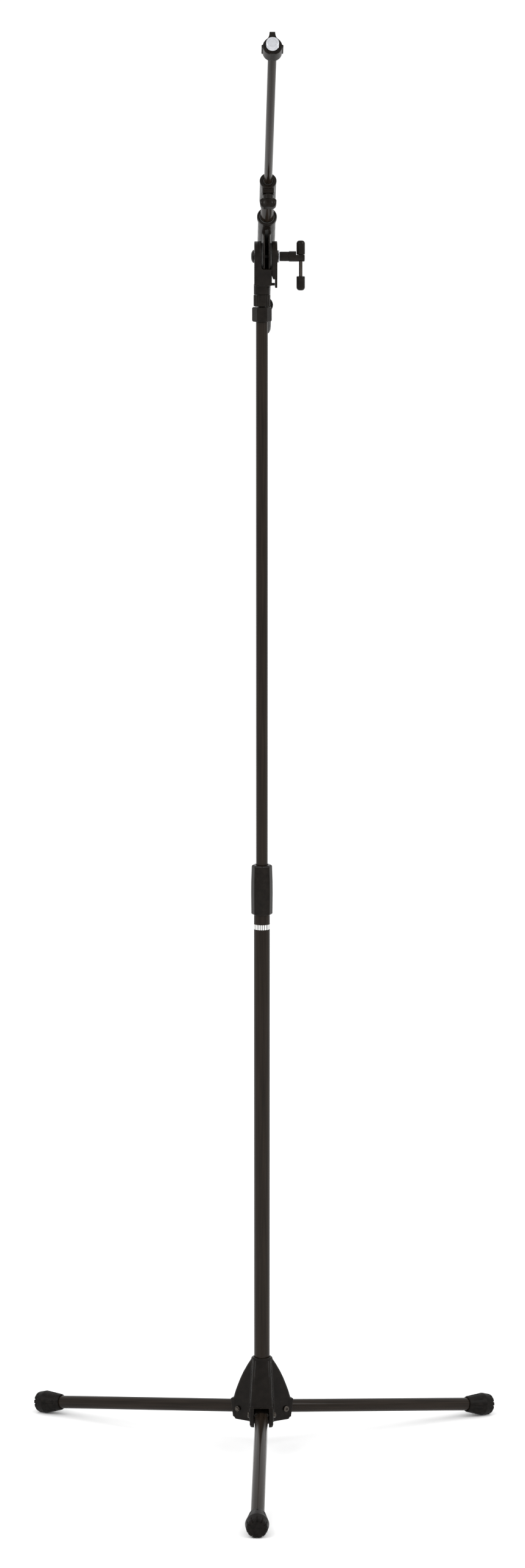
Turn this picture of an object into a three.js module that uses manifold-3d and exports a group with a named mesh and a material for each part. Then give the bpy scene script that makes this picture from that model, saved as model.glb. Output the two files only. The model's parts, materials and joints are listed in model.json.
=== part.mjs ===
// A tripod microphone stand with a telescopic boom arm. Millimetres, +Z up.
// Every piece is its own closed solid: base, legs, telescopic mast, tilting head, boom and its fittings.
import * as THREE from 'three';
import { mergeVertices } from 'three/addons/utils/BufferGeometryUtils.js';
import Module from 'manifold-3d';

const wasm = await Module();
wasm.setup();

const DEG = Math.PI / 180;

// ---- driving dimensions ----
const GAP = 0.3; // clearance between neighbouring pieces
const ROUND = 24; // sides of a turned piece
const SMALL_ROUND = 16; // sides of a small turned piece

// base casting and legs; a leg's own x axis runs outward from its pivot
const LEG_NAMES = ['front', 'right', 'left'];
const LEG_YAW = -1.9 * DEG; // the legs stand turned a little to the boom
const PIVOT_RADIUS = 28.8;
const PIVOT_HEIGHT = 62.8;
const LEG_R = 9.2;
const LEG_WALL = 1.2;
const LEG_REACH = 375.4; // pole axis to the outer end of a foot
const FOOT_LENGTH = 40.7;
const FOOT_BORE_DEPTH = 34.6;
const FOOT_RIDGE = 25.7; // from a foot's mouth to its widest ridge
const FOOT_RIDGE_R = 16.1;
const FOOT_AXIS_HEIGHT = 15.6; // at the ridge, so that the foot is flattened where it stands
const LOBE_WIDTH = 32;
const LOBE_TOP_WIDTH = 24.6;
const LOBE_TOP = 136;
const MOUTH_TOP = 75; // ceiling of the opening that a leg leaves by; above it a lobe narrows
const CHANNEL_WIDTH = 20.4;
const HUB_CORE_R = 15.2;
const HUB_NECK_R = 12.9;
const HUB_TOP = 138;
const HUB_BOTTOM = 44;
const HUB_FLOOR = 49.7; // the lower tube stands on this floor
const KNUCKLE_R = 9.1; // a leg's end casting, about its pivot
const KNUCKLE_HALF = 9.2;
const M4_R = 1.95;
const M6_R = 2.9;
const M8_R = 4;
const STUD_R = 4.76; // 3/8 inch thread

// mast
const LOWER_R = 11;
const LOWER_WALL = 1.5;
const LOWER_TOP = 800;
const UPPER_R = 8;
const UPPER_WALL = 1.2;
const UPPER_BOTTOM = 720;
const UPPER_TOP = 1577.5;
const GRIP_BOTTOM = 766;
const GRIP_TOP = 836;
const BUSH_R = 12.2;
const COLLET_BOTTOM = 806.6;
const COLLET_TOP = 826;

// head
const HEX_BOTTOM = 1577.8;
const HEX_TOP = 1597.4;
const RING_BOTTOM = 1598.5;
const RING_TOP = 1613.7;
const NECK_BOTTOM = 1614.1;
const NECK_TOP = 1628.2;
const TILT_HEIGHT = 1664.9; // tilt bolt axis
const EAR_R = 20.2;
const BODY_LEFT = -10.3;
const EAR_RIGHT = -1;
const BODY_RIGHT = 13.2;
const PLATE_INNER = 13.5;
const PLATE_THIN = 17.5;
const PLATE_OUTER = 20.5;
const PLATE_BOTTOM = 1623.3;
const BOLT_R = 4;
const WASHER_RIGHT = 23.4;
const HANDLE_NECK_R = 6.5;
const HANDLE_R = 7.05;
const HANDLE_STEP = 36.5;
const HUB_END = 57.3;
const BAR_X = 52;
const BAR_R = 2.45;
const BAR_UP = 21.3; // the bar's top end above the bolt axis, with its cap resting on the hub
const BAR_DOWN = 45.4;
const CAP_R = 5.7;
const CAP_LENGTH = 19;
const HUB_FLAT = 2.1; // the flat that the upper cap rests on

// boom; its own z axis runs along the boom, its y axis away from the tilt bolt
const BOOM_RISE = 29 * DEG;
const BOOM_X = 6.25;
const BOOM_OFFSET = 33; // boom axis from the tilt bolt axis
const FLANGE_R = 22.4;
const FLANGE_BACK = 15; // the tongue is narrower behind, so that the boom can stand upright
const FLANGE_HALF = 4.5;
const SLOT = 5;
const HOLDER_R = 11.7;
const HOLDER_RING_R = 13.2;
const HOLDER_FRONT = 54;
const HOLDER_BACK = -40;
const OUTER_BOOM_R = 8.5;
const OUTER_BOOM_WALL = 1.2;
const OUTER_BOOM_BACK = -290;
const COLLAR_BACK = 98;
const COLLAR_FRONT = 158.2;
const COLLAR_R = 11.1;
const TAIL_RIM = -219;
const TAIL_END = -305;
const INNER_BOOM_R = 5.4;
const INNER_BOOM_WALL = 1;
const INNER_BOOM_BACK = 85;
const KNOB_S = 146; // lock screw, along the boom
const TIP_NUT_BACK = 505;
const TIP_NUT_FRONT = 523.5;
const ADAPTER_FRONT = 532;
const ADAPTER_R = 7.94; // 5/8 inch thread

// ---- materials ----
const finish = (color, roughness, metalness) =>
  new THREE.MeshStandardMaterial({ color, roughness, metalness });
const castBlack = finish(0x1b1917, 0.42, 0.1);
const paintBlack = finish(0x1d1b19, 0.3, 0.1);
const plasticBlack = finish(0x1a1917, 0.5, 0);
const rubberBlack = finish(0x161514, 0.75, 0);
const nylon = finish(0x2a2927, 0.55, 0);
const steel = finish(0x8d8f92, 0.35, 1);
const blackSteel = finish(0x2b2826, 0.35, 1);
const chrome = finish(0xd8dadc, 0.12, 1);

// ---- shapes ----
const stand = new THREE.Group();

function add(parent, name, geometry, material) {
  const mesh = new THREE.Mesh(geometry, material);
  mesh.name = name;
  parent.add(mesh);
  return mesh;
}

// A closed (radius, height) outline turned about z; it starts and ends on the axis, or returns to its start.
function turned(outline, sides = ROUND) {
  const points = outline.map(([r, z]) => new THREE.Vector2(r, z));
  if (outline[0][0] > 0) points.push(points[0].clone());
  return new THREE.LatheGeometry(points, sides).rotateX(Math.PI / 2);
}

const rod = (r, z0, z1, sides = ROUND) => turned([[0, z0], [r, z0], [r, z1], [0, z1]], sides);

const pipe = (inner, outer, z0, z1, sides = ROUND) =>
  turned([[inner, z0], [outer, z0], [outer, z1], [inner, z1]], sides);

// An (x, y) outline made into a plate of the given thickness, centred on z = 0.
function plate(outline, thickness, bevel = 0) {
  const shape = outline instanceof THREE.Shape
    ? outline
    : new THREE.Shape(outline.map(([x, y]) => new THREE.Vector2(x, y)));
  const depth = thickness - 2 * bevel;
  const rounding = { bevelEnabled: bevel > 0, bevelSize: bevel, bevelThickness: bevel, bevelOffset: -bevel };
  const options = { depth, ...rounding, bevelSegments: 2, curveSegments: 8 };
  return new THREE.ExtrudeGeometry(shape, options).translate(0, 0, -depth / 2);
}

const block = (x0, x1, y0, y1, z0, z1) =>
  new THREE.BoxGeometry(x1 - x0, y1 - y0, z1 - z0).translate((x0 + x1) / 2, (y0 + y1) / 2, (z0 + z1) / 2);

// z to x, x to y, y to z: a shape made about z or in the xy plane is set about x or in the yz plane.
const alongX = (geometry) => geometry.rotateX(Math.PI / 2).rotateZ(Math.PI / 2);
// z to y: a shape made about z is set about y, with its own y axis turned to -z.
const alongY = (geometry) => geometry.rotateX(-Math.PI / 2);

function solidOf(geometry) {
  const bare = geometry.index ? geometry.toNonIndexed() : geometry.clone();
  bare.deleteAttribute('normal');
  bare.deleteAttribute('uv');
  const merged = mergeVertices(bare, 1e-3);
  const vertProperties = merged.attributes.position.array;
  const triVerts = new Uint32Array(merged.index.array);
  return new wasm.Manifold(new wasm.Mesh({ numProp: 3, vertProperties, triVerts }));
}

function geometryOf(solid) {
  const mesh = solid.getMesh();
  const geometry = new THREE.BufferGeometry();
  geometry.setAttribute('position', new THREE.BufferAttribute(mesh.vertProperties, 3));
  geometry.setIndex(new THREE.BufferAttribute(mesh.triVerts, 1));
  geometry.computeVertexNormals();
  return geometry;
}

function shaped(first, { plus = [], minus = [] }) {
  let solid = solidOf(first);
  for (const g of plus) solid = solid.add(solidOf(g));
  for (const g of minus) solid = solid.subtract(solidOf(g));
  return geometryOf(solid);
}

// ---- base casting ----
const legTurn = (index) => LEG_YAW - Math.PI / 2 + (index * 2 * Math.PI) / 3;

// A shape drawn in (outward, up), given a sideways thickness, and turned to face one leg.
const onLeg = (geometry, index) => geometry.rotateX(Math.PI / 2).rotateZ(legTurn(index));

// Narrows a lobe above the leg's mouth; while a lobe is drawn, y is up and z is its width.
function narrowed(geometry) {
  const points = geometry.attributes.position;
  for (let i = 0; i < points.count; i += 1) {
    const climb = Math.max(0, (points.getY(i) - MOUTH_TOP) / (LOBE_TOP - MOUTH_TOP));
    points.setZ(i, points.getZ(i) * (1 - climb * (1 - LOBE_TOP_WIDTH / LOBE_WIDTH)));
  }
  return geometry;
}

function hubCasting() {
  const core = turned([
    [0, HUB_BOTTOM], [HUB_CORE_R, HUB_BOTTOM], [HUB_CORE_R, 126],
    [HUB_NECK_R, 132], [HUB_NECK_R, HUB_TOP], [0, HUB_TOP],
  ]);
  // outlines in (outward, up)
  const lobe = [
    [2, 47], [37, 47], [39.4, 51], [40.2, 62], [39.8, 72], [38.6, 78], [36.1, 87], [32.8, 96],
    [28.9, 106], [24.2, 116], [18.3, 126.5], [12.2, LOBE_TOP], [2, LOBE_TOP],
  ];
  const frame = [[34, 49.5], [38, 49.5], [41.5, MOUTH_TOP + 1.2], [36, MOUTH_TOP + 1.2]];
  const channel = [
    [17.4, 30], [60, 30], [60, MOUTH_TOP], [36, MOUTH_TOP], [33.6, 83],
    [30, 92], [26.2, 101], [21.8, 110], [17.4, 117],
  ];
  const plus = [];
  const minus = [rod(LOWER_R + GAP, HUB_FLOOR, HUB_TOP + 1), rod(M8_R + 0.4, 30, HUB_FLOOR + 1, SMALL_ROUND)];
  for (let i = 0; i < LEG_NAMES.length; i += 1) {
    plus.push(onLeg(narrowed(plate(lobe, LOBE_WIDTH, 2.5)), i));
    plus.push(onLeg(plate(frame, LOBE_WIDTH + 0.8, 0.6), i));
    minus.push(onLeg(plate(channel, CHANNEL_WIDTH), i));
    const pivotHole = rod(M4_R + GAP, -20, 20, SMALL_ROUND).translate(PIVOT_RADIUS, PIVOT_HEIGHT, 0);
    minus.push(onLeg(pivotHole, i));
  }
  return shaped(core, { plus, minus });
}

function buildBase() {
  add(stand, 'hub_casting', hubCasting(), castBlack);
  add(stand, 'centre_washer', pipe(M8_R + GAP, 11, 42.1, 43.7), steel);
  const head = turned([[0, 36.3], [6.2, 36.3], [7.4, 37.4], [7.4, 41.8], [0, 41.8]], 6);
  add(stand, 'centre_bolt', shaped(head, { plus: [rod(M8_R, 41, 70, SMALL_ROUND)] }), steel);
  add(stand, 'lower_tube_plug', pipe(M8_R + GAP, LOWER_R - LOWER_WALL - GAP, HUB_FLOOR + GAP, 75), steel);
  const lowerTube = pipe(LOWER_R - LOWER_WALL, LOWER_R, HUB_FLOOR + GAP, LOWER_TOP);
  add(stand, 'lower_tube', lowerTube, paintBlack);
}

// ---- legs ----
const ridgeX = (() => {
  const flat = LEG_REACH - PIVOT_RADIUS;
  const end = Math.hypot(flat, PIVOT_HEIGHT - FOOT_AXIS_HEIGHT);
  return end - FOOT_LENGTH + FOOT_RIDGE;
})();
const LEG_SLOPE = Math.asin((PIVOT_HEIGHT - FOOT_AXIS_HEIGHT) / ridgeX);
const footMouth = ridgeX - FOOT_RIDGE;

function legKnuckle() {
  const eye = alongY(rod(KNUCKLE_R, -KNUCKLE_HALF, KNUCKLE_HALF, ROUND));
  const shoulder = block(0, 13, -KNUCKLE_HALF, KNUCKLE_HALF, -7.5, 7.5);
  const spigot = alongX(rod(LEG_R - LEG_WALL - GAP, 12, 42));
  const hole = alongY(rod(M4_R + GAP, -12, 12, SMALL_ROUND));
  return shaped(eye, { plus: [shoulder, spigot], minus: [hole] });
}

function rubberFoot() {
  const bore = LEG_R + GAP;
  const body = turned([
    [bore, 0], [10.3, 0], [11.4, 1.5], [FOOT_RIDGE_R - 0.4, FOOT_RIDGE - 1.7], [FOOT_RIDGE_R, FOOT_RIDGE],
    [FOOT_RIDGE_R - 0.2, FOOT_RIDGE + 1.8], [14.3, FOOT_LENGTH - 3], [12.6, FOOT_LENGTH - 0.9],
    [9.5, FOOT_LENGTH], [0, FOOT_LENGTH], [0, FOOT_BORE_DEPTH], [bore, FOOT_BORE_DEPTH],
  ]);
  const placed = alongX(body).translate(footMouth, 0, 0);
  // the ground plane, seen from the sloping leg
  const ground = block(-200, 200, -60, 60, -60, 0).rotateY(-LEG_SLOPE);
  const drop = PIVOT_HEIGHT / Math.cos(LEG_SLOPE);
  ground.translate(ridgeX, 0, ridgeX * Math.tan(LEG_SLOPE) - drop);
  return shaped(placed, { minus: [ground] });
}

function pivotBolt() {
  const face = LOBE_WIDTH / 2 + GAP;
  const outline = [[0, face], [4.3, face], [4.3, face + 2.4], [3.4, face + 3], [0, face + 3]];
  const head = turned(outline, SMALL_ROUND);
  const shank = rod(M4_R, -face - 3.9, face + 1, SMALL_ROUND);
  return alongY(shaped(head, { plus: [shank] }));
}

function pivotNut() {
  const face = LOBE_WIDTH / 2 + GAP;
  const bore = rod(M4_R + GAP, -face - 5, -face + 1, SMALL_ROUND);
  return alongY(shaped(rod(3.9, -face - 3.1, -face, 6), { minus: [bore] }));
}

function buildLeg(index) {
  const name = LEG_NAMES[index];
  const turn = legTurn(index);
  const arm = new THREE.Group();
  arm.rotation.z = turn;
  arm.position.set(PIVOT_RADIUS * Math.cos(turn), PIVOT_RADIUS * Math.sin(turn), PIVOT_HEIGHT);
  const leg = new THREE.Group();
  leg.rotation.y = LEG_SLOPE;
  arm.add(leg);
  stand.add(arm);
  const tube = pipe(LEG_R - LEG_WALL, LEG_R, 13.4, footMouth + FOOT_BORE_DEPTH - 0.6);
  add(leg, `leg_tube_${name}`, alongX(tube), paintBlack);
  add(leg, `leg_knuckle_${name}`, legKnuckle(), castBlack);
  add(leg, `rubber_foot_${name}`, rubberFoot(), rubberBlack);
  add(arm, `leg_pivot_bolt_${name}`, pivotBolt(), blackSteel);
  add(arm, `leg_pivot_nut_${name}`, pivotNut(), blackSteel);
}

// ---- mast and its clutch ----
function clutchCollet() {
  const cone = turned([
    [UPPER_R + GAP, COLLET_BOTTOM], [11.7, COLLET_BOTTOM], [11.7, COLLET_BOTTOM + 4],
    [9.8, COLLET_TOP], [UPPER_R + GAP, COLLET_TOP],
  ]);
  return shaped(cone, { minus: [block(0, 20, -0.8, 0.8, COLLET_BOTTOM - 1, COLLET_TOP + 1)] });
}

function clutchGrip() {
  const outside = turned([
    [0, GRIP_BOTTOM], [14, GRIP_BOTTOM], [14.9, GRIP_BOTTOM + 2], [15, GRIP_BOTTOM + 30],
    [14.1, GRIP_TOP - 2.4], [12.6, GRIP_TOP], [0, GRIP_TOP],
  ], 8);
  const seat = turned([
    [0, GRIP_BOTTOM - 1], [BUSH_R + GAP, GRIP_BOTTOM - 1], [BUSH_R + GAP, COLLET_BOTTOM + 4.4],
    [10.3, COLLET_TOP + 0.6], [UPPER_R + 0.5, COLLET_TOP + 0.6], [UPPER_R + 0.5, GRIP_TOP + 1],
    [0, GRIP_TOP + 1],
  ]);
  return shaped(outside, { minus: [seat] });
}

function topFitting() {
  const hex = turned([
    [0, HEX_BOTTOM], [12.7, HEX_BOTTOM], [13.35, HEX_BOTTOM + 0.8], [13.35, HEX_TOP - 1.4],
    [12.1, HEX_TOP], [0, HEX_TOP],
  ], 6).rotateZ(30 * DEG);
  const spigot = rod(UPPER_R - UPPER_WALL - GAP, 1550, HEX_BOTTOM + 1);
  return shaped(hex, { plus: [spigot, rod(STUD_R, HEX_TOP - 1, NECK_TOP - 2, SMALL_ROUND)] });
}

function buildMast() {
  const bush = turned([
    [LOWER_R + GAP, GRIP_BOTTOM + 2], [BUSH_R, GRIP_BOTTOM + 2], [BUSH_R, COLLET_BOTTOM - GAP],
    [UPPER_R + 0.6, COLLET_BOTTOM - GAP], [UPPER_R + 0.6, LOWER_TOP + GAP], [LOWER_R + GAP, LOWER_TOP + GAP],
  ]);
  add(stand, 'clutch_bush', bush, nylon);
  add(stand, 'clutch_collet', clutchCollet(), nylon);
  add(stand, 'clutch_grip', clutchGrip(), plasticBlack);
  add(stand, 'upper_tube', pipe(UPPER_R - UPPER_WALL, UPPER_R, UPPER_BOTTOM, UPPER_TOP), paintBlack);
  const glide = pipe(UPPER_R + GAP, LOWER_R - LOWER_WALL - GAP, UPPER_BOTTOM + 2, UPPER_BOTTOM + 26);
  add(stand, 'upper_tube_glide', glide, nylon);
  add(stand, 'mast_top_fitting', topFitting(), castBlack);
}

// ---- tilting head; made about the tilt bolt, with x along the bolt ----
function swivelLockRing() {
  const flutes = 20;
  const outline = [];
  for (let i = 0; i < 2 * flutes; i += 1) {
    const r = i % 2 ? 11.35 : 10.75;
    const a = (i * Math.PI) / flutes;
    outline.push([r * Math.cos(a), r * Math.sin(a)]);
  }
  const ring = plate(outline, RING_TOP - RING_BOTTOM).translate(0, 0, (RING_TOP + RING_BOTTOM) / 2);
  return shaped(ring, { minus: [rod(STUD_R + GAP, RING_BOTTOM - 1, RING_TOP + 1, SMALL_ROUND)] });
}

// An ear's side outline in (y, z): round about the bolt, with straight flanks down to a foot.
function earOutline(footHalf, footZ) {
  const shape = new THREE.Shape();
  shape.moveTo(-footHalf, footZ);
  shape.lineTo(footHalf, footZ);
  shape.lineTo(EAR_R, 0);
  shape.absarc(0, 0, EAR_R, 0, Math.PI, false);
  shape.lineTo(-footHalf, footZ);
  return shape;
}

// A plate drawn in (y, z) and given a thickness from x0 to x1.
const sidePlate = (outline, x0, x1, bevel = 0) =>
  alongX(plate(outline, x1 - x0, bevel)).translate((x0 + x1) / 2, 0, 0);

function tilterBase() {
  const foot = NECK_TOP - 2 - TILT_HEIGHT;
  const ear = sidePlate(earOutline(11.5, foot), BODY_LEFT, EAR_RIGHT, 1);
  const saddle = sidePlate(earOutline(11.5, foot), EAR_RIGHT - 2, BODY_RIGHT, 1);
  const flangeRoom = alongX(rod(FLANGE_R + 0.6, EAR_RIGHT, BODY_RIGHT + 5, 32));
  const neck = rod(10.95, NECK_BOTTOM - TILT_HEIGHT, foot + 1.5);
  const nub = block(BODY_RIGHT - 3, PLATE_THIN - GAP, -5, 5, foot, foot + 3.4);
  const stud = rod(STUD_R + GAP, NECK_BOTTOM - TILT_HEIGHT - 1, NECK_TOP - 1 - TILT_HEIGHT, SMALL_ROUND);
  const boltHole = alongX(rod(BOLT_R + GAP, -20, 20, SMALL_ROUND));
  const cut = shaped(saddle, { minus: [flangeRoom] });
  return shaped(ear, { plus: [cut, neck, nub], minus: [stud, boltHole] });
}

function clampPlate() {
  const bottom = PLATE_BOTTOM - TILT_HEIGHT;
  const skin = sidePlate(earOutline(10.5, bottom), PLATE_THIN, PLATE_OUTER, 0.6);
  const pad = sidePlate(earOutline(13, -30), PLATE_INNER, PLATE_OUTER - 1, 0.6);
  const under = PLATE_INNER - 1;
  const taper = plate([[under, -50], [PLATE_THIN, -50], [PLATE_THIN, -34], [under, -24]], 60);
  const boss = alongX(rod(8.2, PLATE_OUTER - 1, PLATE_OUTER + 1.5));
  const hole = alongX(rod(BOLT_R + GAP, 0, 30, SMALL_ROUND));
  return shaped(skin, { plus: [pad, boss], minus: [taper.rotateX(Math.PI / 2), hole] });
}

function tiltBolt() {
  const left = BODY_LEFT - 0.2;
  const dome = turned([
    [0, -4], [3.6, -3.9], [6.4, -3], [8.4, -1.4], [9, 0], [0, 0],
  ]);
  const shank = rod(BOLT_R, -1, 45 - left, SMALL_ROUND);
  return alongX(shaped(dome, { plus: [shank] })).translate(left, 0, 0);
}

function handleHub() {
  const start = WASHER_RIGHT + 0.2;
  const body = alongX(turned([
    [0, start], [HANDLE_NECK_R, start], [HANDLE_NECK_R, HANDLE_STEP - 0.6], [HANDLE_R, HANDLE_STEP],
    [HANDLE_R, HUB_END - 0.8], [HANDLE_R - 0.9, HUB_END], [0, HUB_END],
  ]));
  const flat = block(BAR_X - 6.2, HUB_END + 1, -10, 10, HUB_FLAT, 10);
  const thread = alongX(rod(BOLT_R + GAP, WASHER_RIGHT - 1, 46, SMALL_ROUND));
  const barHole = rod(BAR_R + GAP, -10, 10, SMALL_ROUND).translate(BAR_X, 0, 0);
  return shaped(body, { minus: [flat, thread, barHole] });
}

// A barrel cap with a blind bore, its bore opening down at z = 0.
const barCap = () => turned([
  [BAR_R + GAP, 0], [CAP_R - 0.6, 0], [CAP_R, 0.8], [CAP_R, CAP_LENGTH - 1.6], [CAP_R - 1.6, CAP_LENGTH],
  [0, CAP_LENGTH], [0, CAP_LENGTH - 3], [BAR_R + GAP, CAP_LENGTH - 3],
], SMALL_ROUND);

function buildHead() {
  add(stand, 'swivel_lock_ring', swivelLockRing(), plasticBlack);
  const head = new THREE.Group();
  head.position.z = TILT_HEIGHT;
  stand.add(head);
  add(head, 'tilter_base', tilterBase(), castBlack);
  add(head, 'clamp_plate', clampPlate(), castBlack);
  const discIn = BOOM_X - FLANGE_HALF;
  const discOut = BOOM_X + FLANGE_HALF;
  const disc = (x0, x1) => alongX(pipe(BOLT_R + GAP, 18, x0, x1));
  add(head, 'friction_disc_left', disc(EAR_RIGHT + GAP, discIn - GAP), nylon);
  add(head, 'friction_disc_right', disc(discOut + GAP, PLATE_INNER - GAP), nylon);
  add(head, 'tilt_bolt', tiltBolt(), castBlack);
  add(head, 'handle_washer', alongX(pipe(BOLT_R + GAP, 8.2, WASHER_RIGHT - 1.1, WASHER_RIGHT)), chrome);
  add(head, 'handle_hub', handleHub(), plasticBlack);
  const bar = rod(BAR_R, -BAR_DOWN + 3.3, BAR_UP - 3.3, SMALL_ROUND).translate(BAR_X, 0, 0);
  add(head, 't_bar', bar, blackSteel);
  add(head, 't_bar_cap_upper', barCap().translate(BAR_X, 0, BAR_UP - CAP_LENGTH + GAP), plasticBlack);
  const lowerCap = barCap().rotateX(Math.PI).translate(BAR_X, 0, CAP_LENGTH - BAR_DOWN);
  add(head, 't_bar_cap_lower', lowerCap, plasticBlack);
}

// ---- boom; z along the boom, -y towards the tilt bolt and the ground ----
const onBoom = (geometry) => geometry.translate(0, BOOM_OFFSET, 0);

// A round piece that stands on the boom's underside, made about z with z = 0 on the boom axis.
const below = (geometry, s) => geometry.rotateX(Math.PI / 2).translate(0, BOOM_OFFSET, s);

function boomHolder() {
  const sleeve = onBoom(turned([
    [0, HOLDER_BACK], [HOLDER_R - 0.8, HOLDER_BACK], [HOLDER_R, HOLDER_BACK + 0.8],
    [HOLDER_R, HOLDER_FRONT - 7.4],
    [HOLDER_RING_R, HOLDER_FRONT - 6.6], [HOLDER_RING_R, HOLDER_FRONT - 1], [HOLDER_RING_R - 1, HOLDER_FRONT],
    [0, HOLDER_FRONT],
  ]));
  const tongue = new THREE.Shape();
  tongue.moveTo(FLANGE_R, BOOM_OFFSET - 4);
  tongue.lineTo(FLANGE_R, 0);
  tongue.absarc(0, 0, FLANGE_R, 0, Math.acos(-FLANGE_BACK / FLANGE_R), true);
  tongue.lineTo(-FLANGE_BACK, BOOM_OFFSET - 4);
  tongue.closePath();
  // drawn in (along the boom, away from the bolt)
  const web = plate(tongue, 2 * FLANGE_HALF, 0.8).rotateY(-Math.PI / 2);
  const slot = block(-SLOT / 2, SLOT / 2, -40, BOOM_OFFSET, HOLDER_BACK - 1, FLANGE_R + 14);
  const bore = onBoom(rod(OUTER_BOOM_R + 2.1, HOLDER_BACK - 1, HOLDER_FRONT + 1));
  const boltHole = alongX(rod(BOLT_R + GAP, -20, 20, SMALL_ROUND));
  return shaped(sleeve, { plus: [web], minus: [bore, slot, boltHole] });
}

function boomCollar() {
  const sleeve = onBoom(turned([
    [0, COLLAR_BACK], [COLLAR_R - 1.3, COLLAR_BACK], [COLLAR_R - 0.3, COLLAR_BACK + 1],
    [COLLAR_R - 0.3, COLLAR_FRONT - 4.4], [COLLAR_R, COLLAR_FRONT - 4], [COLLAR_R, COLLAR_FRONT - 1],
    [COLLAR_R - 1, COLLAR_FRONT], [0, COLLAR_FRONT],
  ]));
  const boss = block(-7.85, 7.85, BOOM_OFFSET - 15.2, BOOM_OFFSET, KNOB_S - 8, KNOB_S + 8);
  const outerBore = onBoom(rod(OUTER_BOOM_R + GAP, COLLAR_BACK - 1, COLLAR_FRONT - 5));
  const innerBore = onBoom(rod(INNER_BOOM_R + 1.1, COLLAR_FRONT - 6, COLLAR_FRONT + 1));
  const screwHole = below(rod(M6_R + GAP, 4, 20, SMALL_ROUND), KNOB_S);
  return shaped(sleeve, { plus: [boss], minus: [outerBore, innerBore, screwHole] });
}

function wingKnob() {
  const neck = turned([[0, 15.6], [6.4, 15.6], [7, 16.2], [7, 20], [6, 24], [0, 24]], SMALL_ROUND);
  const wing = new THREE.Shape();
  wing.moveTo(-8, 21);
  wing.lineTo(8, 21);
  wing.quadraticCurveTo(11, 21.4, 11, 25);
  wing.lineTo(10.6, 29);
  wing.quadraticCurveTo(9.4, 33.6, 5, 34);
  wing.lineTo(-5, 34);
  wing.quadraticCurveTo(-9.4, 33.6, -10.6, 29);
  wing.lineTo(-11, 25);
  wing.quadraticCurveTo(-11, 21.4, -8, 21);
  const paddle = plate(wing, 9, 1.5).rotateX(Math.PI / 2);
  const bore = rod(M6_R + GAP, 10, 29, SMALL_ROUND);
  return below(shaped(neck, { plus: [paddle], minus: [bore] }), KNOB_S);
}

function tipLockNut() {
  const middle = (TIP_NUT_BACK + TIP_NUT_FRONT) / 2;
  const length = TIP_NUT_FRONT - TIP_NUT_BACK;
  const body = turned([
    [0, TIP_NUT_BACK], [11.4, TIP_NUT_BACK], [12.1, TIP_NUT_BACK + 0.8], [12.1, TIP_NUT_FRONT - 0.8],
    [11.4, TIP_NUT_FRONT], [0, TIP_NUT_FRONT],
  ], 32);
  const rib = block(-13.6, 13.6, -1.1, 1.1, TIP_NUT_BACK + 0.5, TIP_NUT_FRONT - 0.5);
  const finger = new THREE.Shape();
  finger.moveTo(-8.5, 8.6);
  finger.quadraticCurveTo(-3.9, 12, -3.8, 17);
  finger.lineTo(-3.6, 20);
  finger.lineTo(3.6, 20);
  finger.lineTo(3.8, 17);
  finger.quadraticCurveTo(3.9, 12, 8.5, 8.6);
  finger.closePath();
  const lug = plate(finger, length - 1, 0.6).translate(0, 0, middle);
  const bore = rod(STUD_R + GAP, TIP_NUT_BACK - 1, TIP_NUT_FRONT + 1, SMALL_ROUND);
  return onBoom(shaped(body, { plus: [rib, lug], minus: [bore] }));
}

function threadAdapter() {
  const back = TIP_NUT_FRONT + GAP;
  return onBoom(turned([
    [STUD_R + GAP, back], [ADAPTER_R, back], [ADAPTER_R, ADAPTER_FRONT - 0.8],
    [ADAPTER_R - 0.8, ADAPTER_FRONT],
    [STUD_R + GAP, ADAPTER_FRONT],
  ]));
}

function tailCap() {
  const bore = OUTER_BOOM_R + GAP;
  return onBoom(turned([
    [0, TAIL_END], [5, TAIL_END + 0.8], [8.6, TAIL_END + 3.4], [10.2, TAIL_END + 7.4], [10.4, TAIL_END + 12],
    [10.4, TAIL_RIM - 4], [12.2, TAIL_RIM - 3.4], [12.5, TAIL_RIM - 1.6], [12.2, TAIL_RIM], [bore, TAIL_RIM],
    [bore, OUTER_BOOM_BACK - GAP], [0, OUTER_BOOM_BACK - GAP],
  ]));
}

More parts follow.
